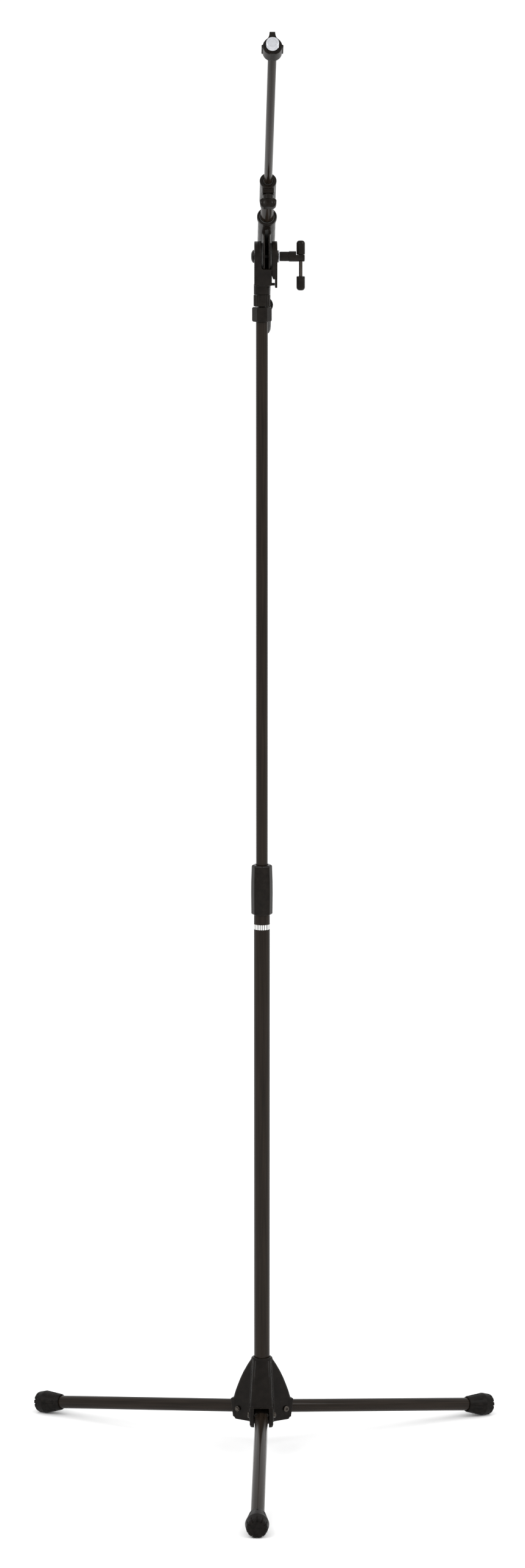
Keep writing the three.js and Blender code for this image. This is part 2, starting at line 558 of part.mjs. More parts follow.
function buildBoom() {
  const boom = new THREE.Group();
  boom.position.set(BOOM_X, 0, TILT_HEIGHT);
  boom.rotation.x = Math.PI / 2 - BOOM_RISE;
  stand.add(boom);

  add(boom, 'boom_holder', boomHolder(), castBlack);
  const liner = pipe(OUTER_BOOM_R + GAP, OUTER_BOOM_R + 1.8, HOLDER_BACK + 1, HOLDER_FRONT - 1);
  add(boom, 'boom_holder_liner', onBoom(liner), nylon);

  const tubeHole = below(rod(M6_R + GAP, 4, 20, SMALL_ROUND), KNOB_S);
  const outerInside = OUTER_BOOM_R - OUTER_BOOM_WALL;
  const outerTube = onBoom(pipe(outerInside, OUTER_BOOM_R, OUTER_BOOM_BACK, COLLAR_FRONT - 5.4));
  add(boom, 'boom_outer_tube', shaped(outerTube, { minus: [tubeHole] }), paintBlack);
  add(boom, 'boom_tail_cap', tailCap(), rubberBlack);
  add(boom, 'boom_collar', boomCollar(), plasticBlack);
  const collarRing = pipe(INNER_BOOM_R + GAP, INNER_BOOM_R + 0.8, COLLAR_FRONT - 4.6, COLLAR_FRONT - 0.4);
  add(boom, 'boom_collar_liner', onBoom(collarRing), nylon);
  const pad = below(rod(2.6, INNER_BOOM_R + GAP, INNER_BOOM_R + 2, SMALL_ROUND), KNOB_S);
  add(boom, 'boom_lock_pad', pad, nylon);
  const screw = below(rod(M6_R, INNER_BOOM_R + 2.3, 28.5, SMALL_ROUND), KNOB_S);
  add(boom, 'boom_lock_screw', screw, blackSteel);
  add(boom, 'boom_wing_knob', wingKnob(), plasticBlack);

  const tip = TIP_NUT_BACK - 0.6;
  const studR = INNER_BOOM_R - INNER_BOOM_WALL - GAP;
  const innerTube = pipe(INNER_BOOM_R - INNER_BOOM_WALL, INNER_BOOM_R, INNER_BOOM_BACK, tip);
  add(boom, 'boom_inner_tube', onBoom(innerTube), paintBlack);
  const glideR = outerInside - GAP;
  const glide = pipe(INNER_BOOM_R + GAP, glideR, INNER_BOOM_BACK + 1, INNER_BOOM_BACK + 16);
  add(boom, 'boom_inner_glide', onBoom(glide), nylon);
  const stud = turned([
    [0, tip - 22], [studR, tip - 22], [studR, tip + 0.3], [STUD_R, tip + 0.3], [STUD_R, ADAPTER_FRONT - 0.8],
    [STUD_R - 0.8, ADAPTER_FRONT], [0, ADAPTER_FRONT],
  ]);
  add(boom, 'tip_stud', onBoom(stud), chrome);
  add(boom, 'tip_lock_nut', tipLockNut(), plasticBlack);
  add(boom, 'thread_adapter', threadAdapter(), chrome);
}

buildBase();
LEG_NAMES.forEach((_, index) => buildLeg(index));
buildMast();
buildHead();
buildBoom();

// The origin is on the ground, under the middle of the whole stand's outline.
const extent = new THREE.Box3().setFromObject(stand, true);
const middle = extent.getCenter(new THREE.Vector3());
stand.position.set(-middle.x, -middle.y, -extent.min.z);

const group = new THREE.Group();
group.add(stand);

export default group;
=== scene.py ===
"""The looks of a boom microphone stand: fine meshes, finishes and a white studio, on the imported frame.

Shapes are given in millimetres in the frame of the assembly that they belong to, and each stands for the CAD
node of the same name. Castings and mouldings are distance fields turned into meshes, so that their edges and
inside corners are truly rounded; turned pieces are revolved outlines with rounded corners.
"""
import json
import math

import bpy
import numpy as np
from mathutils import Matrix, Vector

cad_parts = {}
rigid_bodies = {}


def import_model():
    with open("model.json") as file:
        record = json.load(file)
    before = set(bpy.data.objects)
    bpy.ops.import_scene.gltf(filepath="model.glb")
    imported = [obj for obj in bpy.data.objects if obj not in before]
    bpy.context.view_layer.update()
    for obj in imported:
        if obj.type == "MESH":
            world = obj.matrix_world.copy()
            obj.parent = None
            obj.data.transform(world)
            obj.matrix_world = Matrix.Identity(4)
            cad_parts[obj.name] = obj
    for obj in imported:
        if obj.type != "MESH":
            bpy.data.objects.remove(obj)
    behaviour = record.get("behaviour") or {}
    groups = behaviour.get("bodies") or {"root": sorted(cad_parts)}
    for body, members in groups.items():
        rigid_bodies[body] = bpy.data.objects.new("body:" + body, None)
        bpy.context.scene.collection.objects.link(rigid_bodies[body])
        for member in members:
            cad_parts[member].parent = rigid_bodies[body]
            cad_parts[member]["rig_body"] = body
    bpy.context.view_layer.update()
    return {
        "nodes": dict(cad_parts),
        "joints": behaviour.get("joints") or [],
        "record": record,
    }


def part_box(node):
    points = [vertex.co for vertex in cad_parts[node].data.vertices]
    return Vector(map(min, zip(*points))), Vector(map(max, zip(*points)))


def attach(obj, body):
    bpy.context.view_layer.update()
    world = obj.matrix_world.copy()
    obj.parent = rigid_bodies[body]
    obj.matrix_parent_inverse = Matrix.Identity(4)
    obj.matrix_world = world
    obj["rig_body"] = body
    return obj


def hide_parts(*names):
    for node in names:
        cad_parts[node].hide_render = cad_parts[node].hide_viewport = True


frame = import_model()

import openvdb
from mathutils import Matrix, Vector

MM = 0.001
LEGS = ("front", "right", "left")

# ---- where things are, from the frame ----
joints = {j["name"]: j for j in frame["joints"]}
slot_of = {s["node"]: s["material_slot"] for s in frame["record"]["subparts"]}


def middle(node):
    low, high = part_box(node)
    return (low + high) / 2


def placed(x, y, z, origin):
    """The matrix of a frame with these axes and origin."""
    matrix = Matrix((x, y, z)).transposed().to_4x4()
    matrix.translation = origin
    return matrix


pole = middle("lower_tube")
bolt = Vector(joints["boom_tilt"]["pos_m"])
POLE = Matrix.Translation((pole.x, pole.y, 0))
HEAD = Matrix.Translation((pole.x, pole.y, bolt.z))  # its x axis lies along the tilt bolt

side = Vector(joints["boom_tilt"]["axis"])
along = Vector(joints["boom_slide"]["axis"]).normalized()
inner = middle("boom_inner_tube")
# z along the boom, y away from the tilt bolt, z = 0 abreast of the bolt
BOOM = placed(side, along.cross(side), along, inner - along * (inner - bolt).dot(along))
BOOM_OFFSET = 33  # boom axis from the tilt bolt axis

# sizes that several pieces share
LOWER_R, UPPER_R, LEG_R = 11, 8, 9.2
BOOM_R, INNER_R = 8.5, 5.4
STUD_HOLE = 5.06  # clears a 3/8 inch stud
BOLT_HOLE = 4.3  # clears the 8 mm tilt bolt and centre bolt
SCREW_HOLE = 3.2  # clears the 6 mm lock screw
PIVOT_HOLE = 2.25  # clears a leg's 4 mm pivot bolt
BAR_HOLE = 2.75
KNOB_S = 146  # of the lock screw, along the boom from the tilt bolt

ARM, LEG = {}, {}  # a leg's level frame, x outward; and the leg's own, z along it and x sideways
for leg in LEGS:
    pivot = Vector(joints[f"leg_fold_{leg}"]["pos_m"])
    fold = Vector(joints[f"leg_fold_{leg}"]["axis"])
    outward = fold.cross(Vector((0, 0, 1))).normalized()
    ARM[leg] = placed(outward, -fold, Vector((0, 0, 1)), pivot)
    reach = (middle(f"leg_tube_{leg}") - pivot).normalized()
    LEG[leg] = placed(-fold, reach.cross(-fold), reach, pivot)

# ---- finishes ----
def finish(name, base, roughness, metallic=0.0, specular=0.5, tone=(60, 60, 60), mottle=0.35, grain=1400,
           bump=0.15, depth=0.00002, edge_highlight_colour=None, edge_highlight_strength=0.0, rough_spread=0.08):
    """A procedural finish: uneven tone, uneven gloss, a fine grain, and a painted highlight that makes the
    edges paler where it is asked for.

    tone is the scale of the uneven tone along the piece's own x, y and z, and grain that of the fine bump,
    both per metre.
    """
    material = bpy.data.materials.new(name)
    material.use_nodes = True
    nodes, links = material.node_tree.nodes, material.node_tree.links
    shader = nodes["Principled BSDF"]
    shader.inputs["Metallic"].default_value = metallic
    shader.inputs["Specular IOR Level"].default_value = specular
    place = nodes.new("ShaderNodeTexCoord")

    stretch = nodes.new("ShaderNodeMapping")
    stretch.inputs["Scale"].default_value = tone
    links.new(place.outputs["Object"], stretch.inputs["Vector"])
    cloud = nodes.new("ShaderNodeTexNoise")
    cloud.inputs["Scale"].default_value = 1.0
    cloud.inputs["Detail"].default_value = 5.0
    links.new(stretch.outputs["Vector"], cloud.inputs["Vector"])

    tones = nodes.new("ShaderNodeValToRGB")
    tones.color_ramp.elements[0].position = 0.3
    tones.color_ramp.elements[0].color = [c * (1 - mottle) for c in base] + [1]
    tones.color_ramp.elements[1].position = 0.7
    tones.color_ramp.elements[1].color = [c * (1 + mottle) for c in base] + [1]
    links.new(cloud.outputs["Fac"], tones.inputs["Fac"])
    colour = tones.outputs["Color"]

    # painted highlight: pointiness makes the convex edges paler, standing in for light that catches them
    if edge_highlight_strength:
        shape = nodes.new("ShaderNodeNewGeometry")
        edge = nodes.new("ShaderNodeMapRange")
        edge.inputs["From Min"].default_value = 0.53
        edge.inputs["From Max"].default_value = 0.62
        edge.inputs["To Max"].default_value = edge_highlight_strength
        links.new(shape.outputs["Pointiness"], edge.inputs["Value"])
        mixed = nodes.new("ShaderNodeMix")
        mixed.data_type = "RGBA"
        mixed.inputs["B"].default_value = (*edge_highlight_colour, 1)
        links.new(edge.outputs["Result"], mixed.inputs["Factor"])
        links.new(colour, mixed.inputs["A"])
        colour = mixed.outputs["Result"]
    links.new(colour, shader.inputs["Base Color"])

    gloss = nodes.new("ShaderNodeMapRange")
    gloss.inputs["From Min"].default_value = 0.3
    gloss.inputs["From Max"].default_value = 0.7
    gloss.inputs["To Min"].default_value = roughness - rough_spread
    gloss.inputs["To Max"].default_value = roughness + rough_spread
    links.new(cloud.outputs["Fac"], gloss.inputs["Value"])
    links.new(gloss.outputs["Result"], shader.inputs["Roughness"])

    fine = nodes.new("ShaderNodeTexNoise")
    fine.inputs["Scale"].default_value = grain
    fine.inputs["Detail"].default_value = 3.0
    links.new(place.outputs["Object"], fine.inputs["Vector"])
    relief = nodes.new("ShaderNodeBump")
    relief.inputs["Strength"].default_value = bump
    relief.inputs["Distance"].default_value = depth
    links.new(fine.outputs["Fac"], relief.inputs["Height"])
    links.new(relief.outputs["Normal"], shader.inputs["Normal"])
    return material


FINISHES = {
    # satin powder coat with an orange-peel surface, its edges painted paler as a highlight
    "cast_black": finish("satin powder coat", (0.0066, 0.0052, 0.0042), 0.25, specular=0.09,
                         tone=(90, 90, 90), grain=900, bump=0.35, depth=0.00003,
                         edge_highlight_colour=(0.026, 0.021, 0.017), edge_highlight_strength=0.5),
    # glossier coat on tube, drawn along the tube
    "paint_black": finish("semi-gloss tube paint", (0.0125, 0.0088, 0.0062), 0.19, specular=0.12,
                          tone=(420, 420, 14), grain=1100, bump=0.2, rough_spread=0.06),
    # moulded plastic, its edges painted paler as a highlight
    "plastic_black": finish("moulded plastic", (0.0070, 0.0054, 0.0042), 0.2, specular=0.1,
                            tone=(140, 140, 140), grain=2600, bump=0.3,
                            edge_highlight_colour=(0.026, 0.021, 0.017), edge_highlight_strength=0.35),
    # moulded rubber, its edges painted paler as a highlight
    "rubber_black": finish("moulded rubber", (0.0058, 0.0048, 0.0041), 0.42, specular=0.07,
                           tone=(160, 160, 160), mottle=0.5, grain=3200, bump=0.5, depth=0.00003,
                           edge_highlight_colour=(0.022, 0.019, 0.017), edge_highlight_strength=0.6),
    "nylon": finish("bearing nylon", (0.03, 0.029, 0.027), 0.5, tone=(200, 200, 200), grain=3000, bump=0.2),
    "steel": finish("zinc-plated steel", (0.42, 0.42, 0.43), 0.34, metallic=1.0,
                    tone=(900, 900, 60), mottle=0.15, grain=2400, bump=0.2),
    # blackened steel, its edges painted pale as a highlight in place of glints
    "black_steel": finish("blackened steel", (0.06, 0.052, 0.045), 0.3, metallic=1.0,
                          tone=(700, 700, 60), mottle=0.3, grain=2200, bump=0.25,
                          edge_highlight_colour=(0.25, 0.23, 0.21), edge_highlight_strength=0.5),
    "chrome": finish("bright chrome", (0.56, 0.57, 0.6), 0.16, metallic=1.0,
                     tone=(300, 300, 60), mottle=0.04, grain=1800, bump=0.05, rough_spread=0.03),
}
PRINT_WHITE = finish("white print", (0.8, 0.8, 0.78), 0.5, tone=(800, 800, 800), mottle=0.06,
                     grain=4000, bump=0.2)

# ---- making meshes ----
def mesh_of(points, faces, name):
    """A mesh in metres from points in millimetres, with its faces turned outward."""
    points = np.asarray(points, float)
    mesh = bpy.data.meshes.new(name)
    mesh.from_pydata((points * MM).tolist(), [], faces)
    mesh.update()
    volume = 0.0
    for face in mesh.polygons:
        corners = [mesh.vertices[v].co for v in face.vertices]
        for k in range(1, len(corners) - 1):
            volume += corners[0].dot(corners[k].cross(corners[k + 1]))
    if volume < 0:
        mesh.flip_normals()
    mesh.shade_smooth()
    return mesh


def piece(node, mesh, matrix):
    """Sets a fine mesh in place of the CAD node of that name, with the node's body, slot and finish."""
    obj = bpy.data.objects.new(f"{node}_fine", mesh)
    bpy.context.scene.collection.objects.link(obj)
    obj.matrix_world = matrix
    obj.data.materials.append(FINISHES[slot_of[node]])
    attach(obj, frame["nodes"][node]["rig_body"])
    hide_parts(node)
    return obj


# ---- turned pieces ----
def softened(outline, radius, closed):
    """The outline with its corners rounded, each by a short curve; corners on the axis stay."""
    out = []
    count = len(outline)
    for i, point in enumerate(outline):
        p = np.array(point[:2], float)
        ends = not closed and i in (0, count - 1)
        r = point[2] if len(point) > 2 else radius
        if ends or r == 0 or p[0] == 0:
            out.append(p)
            continue
        before, after = np.array(outline[i - 1][:2], float), np.array(outline[(i + 1) % count][:2], float)
        to_before, to_after = before - p, after - p
        back, on = np.hypot(*to_before), np.hypot(*to_after)
        cut = min(r, 0.45 * back, 0.45 * on)
        start, end = p + to_before / back * cut, p + to_after / on * cut
        for t in (0, 0.25, 0.5, 0.75, 1):
            out.append((1 - t) ** 2 * start + 2 * t * (1 - t) * p + t * t * end)
    return out


def turned(name, outline, soft=0.35, sides=72, wave=None):
    """A closed (radius, z) outline turned about z. It starts and ends on the axis, or closes on itself.

    wave(angle, radius, z) gives a new radius, for flutes and threads.
    """
    closed = outline[0][0] > 0
    profile = softened(outline, soft, closed)
    points, rings = [], []
    for r, z in profile:
        if r == 0:
            rings.append([len(points)] * sides)
            points.append((0, 0, z))
            continue
        rings.append(list(range(len(points), len(points) + sides)))
        for k in range(sides):
            a = 2 * math.pi * k / sides
            q = wave(a, r, z) if wave else r
            points.append((q * math.cos(a), q * math.sin(a), z))
    faces = []
    for a, b in zip(rings, rings[1:] + (rings[:1] if closed else [])):
        for k in range(sides):
            n = (k + 1) % sides
            face = list(dict.fromkeys((a[k], a[n], b[n], b[k])))
            if len(face) > 2:
                faces.append(face)
    mesh = mesh_of(points, faces, name)
    mesh.set_sharp_from_angle(angle=math.radians(40))
    return mesh


def pipe(name, inside, outside, z0, z1, soft=0.3, sides=72):
    """A plain tube or ring from z0 to z1."""
    return turned(name, [(inside, z0), (outside, z0), (outside, z1), (inside, z1)], soft, sides)


def thread(radius, pitch, z0, z1):
    """Rows and a wave that cut a V thread between z0 and z1, faded out at both ends."""
    rows = [(radius, z) for z in np.arange(z0, z1, pitch / 6)]
    cut = 0.55 * pitch

    def wave(angle, r, z):
        if abs(r - radius) > 1e-6:
            return r
        phase = (z / pitch - angle / (2 * math.pi)) % 1
        fade = min(1, max(0, (z - z0) / pitch), max(0, (z1 - z) / pitch))
        return r - cut * fade * abs(2 * phase - 1)

    return rows, wave


# ---- cast and moulded pieces: distances in millimetres, below zero inside ----
def both(a, b, soft=0.0):
    """What is inside a and b, with its outside corner rounded."""
    p, q = a + soft, b + soft
    return np.minimum(np.maximum(p, q), 0) + np.hypot(np.maximum(p, 0), np.maximum(q, 0)) - soft


def either(a, b, fillet=0.0):
    """What is inside a or b, with its inside corner filled by a fillet."""
    return -both(-a, -b, fillet)


def without(a, b, soft=0.0):
    return both(a, -b, soft)


def span(t, low, high):
    return np.abs(t - (low + high) / 2) - (high - low) / 2


def round_(u, v, radius):
    return np.hypot(u, v) - radius


def ngon(u, v, inscribed, sides, turn=0.0, soft=0.0):
    """A regular polygon with this inscribed radius, a face at angle turn, and rounded corners."""
    sector = 2 * math.pi / sides
    angle = (np.arctan2(v, u) - turn + sector / 2) % sector - sector / 2
    out = np.hypot(u, v)
    a = out * np.cos(angle) - (inscribed - soft)
    b = np.abs(out * np.sin(angle)) - (inscribed - soft) * math.tan(sector / 2)
    return np.where(a > 0, np.hypot(a, np.maximum(b, 0)), a) - soft


def through(z, *pairs):
    """A value that passes through (z, value) pairs."""
    return np.interp(z, [p[0] for p in pairs], [p[1] for p in pairs]).astype(np.float32)


def shaped(name, low, high, step, field):
    """The surface where field(x, y, z) is zero, in a box from low to high, on a grid of this step."""
    axes = [np.arange(a, b + step, step, dtype=np.float32) for a, b in zip(low, high)]
    x, y, z = np.meshgrid(*axes, indexing="ij", sparse=True)
    values = np.broadcast_to(field(x, y, z), [len(a) for a in axes])
    band = 3 * step
    volume = openvdb.FloatGrid(background=band)
    volume.copyFromArray(np.clip(values, -band, band).astype(np.float32))
    points, faces = volume.convertToQuads(0.0)
    return mesh_of(points * step + np.array(low), faces.tolist(), name)


# ---- base ----
PIVOT = (28.8, 62.8)  # of a leg's pivot, from the pole's axis and the ground
LOBE_HALF = 16
MOUTH_TOP = 75
CREST = ((47, 37), (51, 39.4), (62, 40.2), (72, 39.8), (78, 38.6), (87, 36.1), (96, 32.8), (106, 28.9),
         (116, 24.2), (126.5, 18.3), (136, 12.2))
HOLLOW = ((75, 36), (83, 33.6), (92, 30), (101, 26.2), (110, 21.8), (117, 17.4))


def hub(x, y, z):
    """Three arched lobes around a core, each hollow below and open at its foot, where a leg folds in."""
    out = np.hypot(x, y)
    body = both(out - through(z, (44, 15.2), (126, 15.2), (132, 12.9), (138, 12.9)), span(z, 44, 138), 0.8)
    cuts = either(both(out - 11.3, 49.7 - z), out - 4.4)
    crest, hollow = through(z, *CREST), through(z, *HOLLOW)
    slope = 1 / np.sqrt(1 + np.gradient(crest, z.ravel(), axis=2) ** 2)
    half = through(z, (MOUTH_TOP, LOBE_HALF), (136, 12.3))
    face = through(z, (49.5, 38), (76.2, 41.5))  # of the frame around the mouth, square to the leg
    for leg in range(len(LEGS)):
        direction = POLE.inverted() @ ARM[LEGS[leg]].translation
        c, s = direction.xy.normalized()
        u, v = x * c + y * s, -x * s + y * c
        rib = both((u - crest) * slope, np.abs(v) - half, 5)
        rib = both(both(rib, span(z, 46.5, 138), 0.8), -u)
        frame_ = both(both(both(u - face, 34 - u), np.abs(v) - 16.4, 0.9), span(z, 49.5, 76.2), 0.9)
        lip = both(both(both(u - face - 0.6, 36 - u), np.abs(v) - 11.3, 0.4), span(z, 49.5, 76.1), 0.4)
        body = either(either(either(body, rib, 2.5), frame_, 0.8), lip, 0.2)
        boss = both(round_(u - PIVOT[0], z - PIVOT[1], 6.2), np.abs(v) - LOBE_HALF - 0.25, 0.3)
        body = either(body, boss, 0.3)
        mouth = both(span(u, 17.4, 60), z - MOUTH_TOP, 1)
        vault = both(both(u - hollow, 17.4 - u, 1), z - 117, 1)
        cuts = either(cuts, both(either(mouth, vault), np.abs(v) - 10.2, 1))
        cuts = either(cuts, round_(u - PIVOT[0], z - PIVOT[1], PIVOT_HOLE))
    return without(body, cuts, 0.4)


piece("hub_casting", shaped("hub", (-50, -50, 42), (50, 50, 140), 0.7, hub), POLE)
piece("centre_washer", pipe("centre washer", BOLT_HOLE, 11, 42.1, 43.7), POLE)


def hex_bolt(x, y, z):
    head = both(ngon(x, y, 6.5, 6, soft=0.2), span(z, 36.3, 41.8), 0.5)
    return either(head, both(round_(x, y, 4), span(z, 41, 70), 0.5), 0.2)


piece("centre_bolt", shaped("centre bolt", (-9, -9, 35), (9, 9, 71), 0.25, hex_bolt), POLE)
piece("lower_tube_plug", pipe("tube plug", BOLT_HOLE, 9.2, 50, 75), POLE)
piece("lower_tube", pipe("lower tube", LOWER_R - 1.5, LOWER_R, 50, 800), POLE)

# ---- legs ----
FACE = LOBE_HALF + 0.3  # where a pivot bolt's head seats
FOOT_MOUTH = 309.1
FOOT_LENGTH = 40.7
FOOT_BORE_DEPTH = 34.6
FOOT_FORM = ((0, 10.9), (1.5, 11.5), (24, 15.7), (25.7, 16.1), (27.5, 15.9), (38.5, 14.2), (40.7, 13.8))
TREADS = 12
SLOTS = 8


def pivot_bolt(x, y, z):
    """A button head with a hexagon socket, on a plain shank."""
    head = both(round_(x, y, 4.3), span(z, FACE, FACE + 3), 1.3)
    head = without(head, both(ngon(x, y, 1.5, 6), FACE + 1.4 - z), 0.15)
    return either(head, both(round_(x, y, 1.95), span(z, -FACE - 3.9, FACE + 1), 0.4), 0.2)


def pivot_nut(x, y, z):
    nut = both(ngon(x, y, 3.4, 6, soft=0.2), span(z, -FACE - 3.1, -FACE), 0.25)
    nut = both(nut, np.hypot(x, y) - 3.5 + (np.abs(z + FACE + 1.55) - 1.6), 0.1)
    return without(nut, round_(x, y, PIVOT_HOLE), 0.2)


def knuckle(x, y, z):
    """A leg's end casting: an eye about the pivot, a shoulder, and a spigot up the tube."""
    eye = both(round_(y, z, 9.1), np.abs(x) - 9.2, 0.8)
    shoulder = both(both(np.abs(x) - 9.2, np.abs(y) - 7.5, 1.5), span(z, 0, 13), 0.5)
    spigot = both(round_(x, y, 7.7), span(z, 12, 42), 0.5)
    return without(either(either(eye, shoulder, 1.5), spigot, 0.5), round_(y, z, PIVOT_HOLE), 0.3)


def foot(leg):
    """A rubber foot: a slotted skirt up to a ridge, short treads at the end, and a flat where it stands."""
    down, height = LEG[leg].to_3x3()[2], LEG[leg].translation.z / MM

    def field(x, y, z):
        t = z - FOOT_MOUTH
        out, angle = np.hypot(x, y), np.arctan2(y, x)
        groove = np.clip((np.cos(TREADS * angle) - 0.55) / 0.4, 0, 1)
        bite = 1.2 * groove * np.clip((t - 32) / 2.5, 0, 1)
        sector = 2 * math.pi / SLOTS
        aside = np.abs((angle + sector / 2) % sector - sector / 2) * out
        slot = 0.8 * np.clip((1.3 - aside) / 0.5, 0, 1)
        slot = slot * np.clip((t - 5.5) / 1.5, 0, 1) * np.clip((20.5 - t) / 1.5, 0, 1)
        end = FOOT_LENGTH - 1.0 * groove * np.clip((out - 8) / 3, 0, 1)
        body = both(both(out - (through(t, *FOOT_FORM) - bite - slot), -t, 0.5), t - end, 3.8)
        body = without(body, both(out - 9.5, t - FOOT_BORE_DEPTH), 0.4)
        above = x * down[0] + y * down[1] + z * down[2] + height
        return both(body, -above, 0.4)

    return field


for leg in LEGS:
    piece(f"leg_tube_{leg}", pipe("leg tube", LEG_R - 1.2, LEG_R, 13.4, FOOT_MOUTH + 34), LEG[leg])
    piece(f"leg_knuckle_{leg}", shaped("knuckle", (-11, -11, -11), (11, 11, 44), 0.5, knuckle), LEG[leg])
    low, high = (-17, -17, FOOT_MOUTH - 1), (17, 17, FOOT_MOUTH + FOOT_LENGTH + 1)
    piece(f"rubber_foot_{leg}", shaped("foot", low, high, 0.45, foot(leg)), LEG[leg])
    across = ARM[leg] @ Matrix.Rotation(-math.pi / 2, 4, "X")  # z to the arm's own y
    piece(f"leg_pivot_bolt_{leg}", shaped("pivot bolt", (-6, -6, -21), (6, 6, 20.5), 0.2, pivot_bolt), across)
    nut = shaped("pivot nut", (-5, -5, -20.5), (5, 5, -15.5), 0.15, pivot_nut)
    piece(f"leg_pivot_nut_{leg}", nut, across)

# ---- mast and clutch ----
GRIP = (766, 836)
GRIP_FORM = ((766, 12.95), (768, 13.6), (796, 13.86), (812, 13.75), (833, 13.1), (836, 12.9))
GRIP_BORE = ((766, 12.5), (811, 12.5), (826.6, 10.3), (826.7, 8.5), (836, 8.5))


def grip(x, y, z):
    """An eight-sided, slightly barrelled grip with an edge to the front."""
    out = ngon(x, y, through(z, *GRIP_FORM), 8, math.pi / 8, 1.6)
    return without(both(out, span(z, *GRIP), 2.6), np.hypot(x, y) - through(z, *GRIP_BORE), 0.4)


def collet(x, y, z):
    out = np.hypot(x, y)
    cone = both(out - through(z, (806.6, 11.7), (810.6, 11.7), (826, 9.8)), span(z, 806.6, 826), 0.3)
    return without(cone, either(out - 8.3, both(np.abs(y) - 0.8, -x)), 0.15)


def top_fitting(x, y, z):
    """A hexagon with chamfered corners, on a spigot that closes the tube, and a 3/8 inch stud above."""
    out = np.hypot(x, y)
    hexagon = both(ngon(x, y, 11.56, 6, math.pi / 6, 0.7), span(z, 1577.8, 1597.4), 0.7)
    hexagon = both(hexagon, out - 12.7 + (np.abs(z - 1587.6) - 9), 0.4)
    spigot = both(out - 6.5, span(z, 1550, 1580), 0.5)
    stud = both(out - 4.76, span(z, 1590, 1626.2), 0.6)
    return either(either(hexagon, spigot), stud, 0.3)


piece("clutch_bush", turned("clutch bush", [
    (11.3, 768), (12.2, 768), (12.2, 806.3), (8.6, 806.3), (8.6, 800.3), (11.3, 800.3),
]), POLE)
piece("clutch_collet", shaped("collet", (-13, -13, 805), (13, 13, 827), 0.3, collet), POLE)
piece("clutch_grip", shaped("grip", (-16.5, -16.5, 764), (16.5, 16.5, 838), 0.35, grip), POLE)
piece("upper_tube", pipe("upper tube", UPPER_R - 1.2, UPPER_R, 720, 1577.5), POLE)
piece("upper_tube_glide", pipe("glide", 8.3, 9.2, 722, 746), POLE)
fitting = shaped("top fitting", (-14.5, -14.5, 1549), (14.5, 14.5, 1628), 0.3, top_fitting)
piece("mast_top_fitting", fitting, POLE)


def print_ticks(count=26, share=0.62, radius=11.04, thick=0.06, z0=746.4, z1=753.2, steps=4):
    """A ring of short white ticks printed around the lower tube, as a plain height mark."""
    points, faces = [], []
    for tick in range(count):
        first = len(points)
        for k in range(steps + 1):
            a = 2 * math.pi * (tick + share * k / steps) / count
            for r, z in ((radius, z0), (radius + thick, z0), (radius + thick, z1), (radius, z1)):
                points.append((r * math.cos(a), r * math.sin(a), z))
        for k in range(steps):
            p = first + 4 * k
            for j in range(4):
                faces.append((p + j, p + (j + 1) % 4, p + 4 + (j + 1) % 4, p + 4 + j))
        faces.append((first + 3, first + 2, first + 1, first))
        last = first + 4 * steps
        faces.append((last, last + 1, last + 2, last + 3))
    mesh = mesh_of(points, faces, "height mark")
    mesh.set_sharp_from_angle(angle=math.radians(30))
    return mesh


mark = bpy.data.objects.new("height_mark_ticks", print_ticks())
bpy.context.scene.collection.objects.link(mark)
mark.matrix_world = POLE
mark.data.materials.append(PRINT_WHITE)
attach(mark, "base")

# ---- tilting head: x along the bolt, z up, the bolt at the origin ----
EAR_R = 20.2
NECK = (-50.8, -36.7)


def ear(y, z, foot_half, foot_z):
    """An ear seen from the side: round about the bolt, with straight flanks down to its foot."""
    flank = np.abs(y) - through(z, (foot_z, foot_half), (0, EAR_R))
    return both(np.where(z > 0, round_(y, z, EAR_R), flank), foot_z - z, 1.2)


def lock_ring(x, y, z):
    angle = np.arctan2(y, x)
    flutes = 0.8 * np.abs(np.sin(9 * angle)) ** 0.8
    ring = both(np.hypot(x, y) - 10.6 - flutes, span(z, 1598.5, 1613.7), 0.7)
    return without(ring, round_(x, y, STUD_HOLE), 0.4)


def tilter(x, y, z):
    """The fixed ear, the saddle beside it, and the round neck that turns on the mast's stud."""
    plate = both(ear(y, z, 11.5, -38.7), span(x, -10.3, -1), 1.1)
    saddle = both(ear(y, z, 11.5, -38.7), span(x, -3, 13.2), 1.1)
    saddle = without(saddle, both(round_(y, z, 23), -1 - x, 2.5), 0.6)
    neck = both(np.hypot(x, y) - 10.95, span(z, NECK[0], -37.2), 0.6)
    nub = both(both(span(x, 10.2, 17.2), np.abs(y) - 5, 0.4), span(z, -38.7, -35.3), 0.4)
    body = either(either(either(plate, saddle, 0.8), neck, 1.0), nub, 0.5)
    body = without(body, both(np.hypot(x, y) - STUD_HOLE, z + 37.7), 0.4)
    return without(body, round_(y, z, BOLT_HOLE), 0.4)


def clamp(x, y, z):
    """The loose ear on the handle's side, thinned below so that it can be drawn in."""
    skin = both(ear(y, z, 10.5, -41.6), span(x, 17.5, 20.5), 0.7)
    pad = both(ear(y, z, 13, -30), span(x, 13.5, 20), 0.7)
    taper = (z + 24) * 0.37 + (x - 12.5) * 0.93
    pad = both(pad, np.where(z < -20, -taper, -99).astype(np.float32), 0.3)
    boss = both(round_(y, z, 8.2), span(x, 19, 22), 0.4)
    return without(either(either(skin, pad, 0.8), boss, 0.5), round_(y, z, BOLT_HOLE), 0.3)


BAR_X = 52  # of the sliding bar, along the bolt


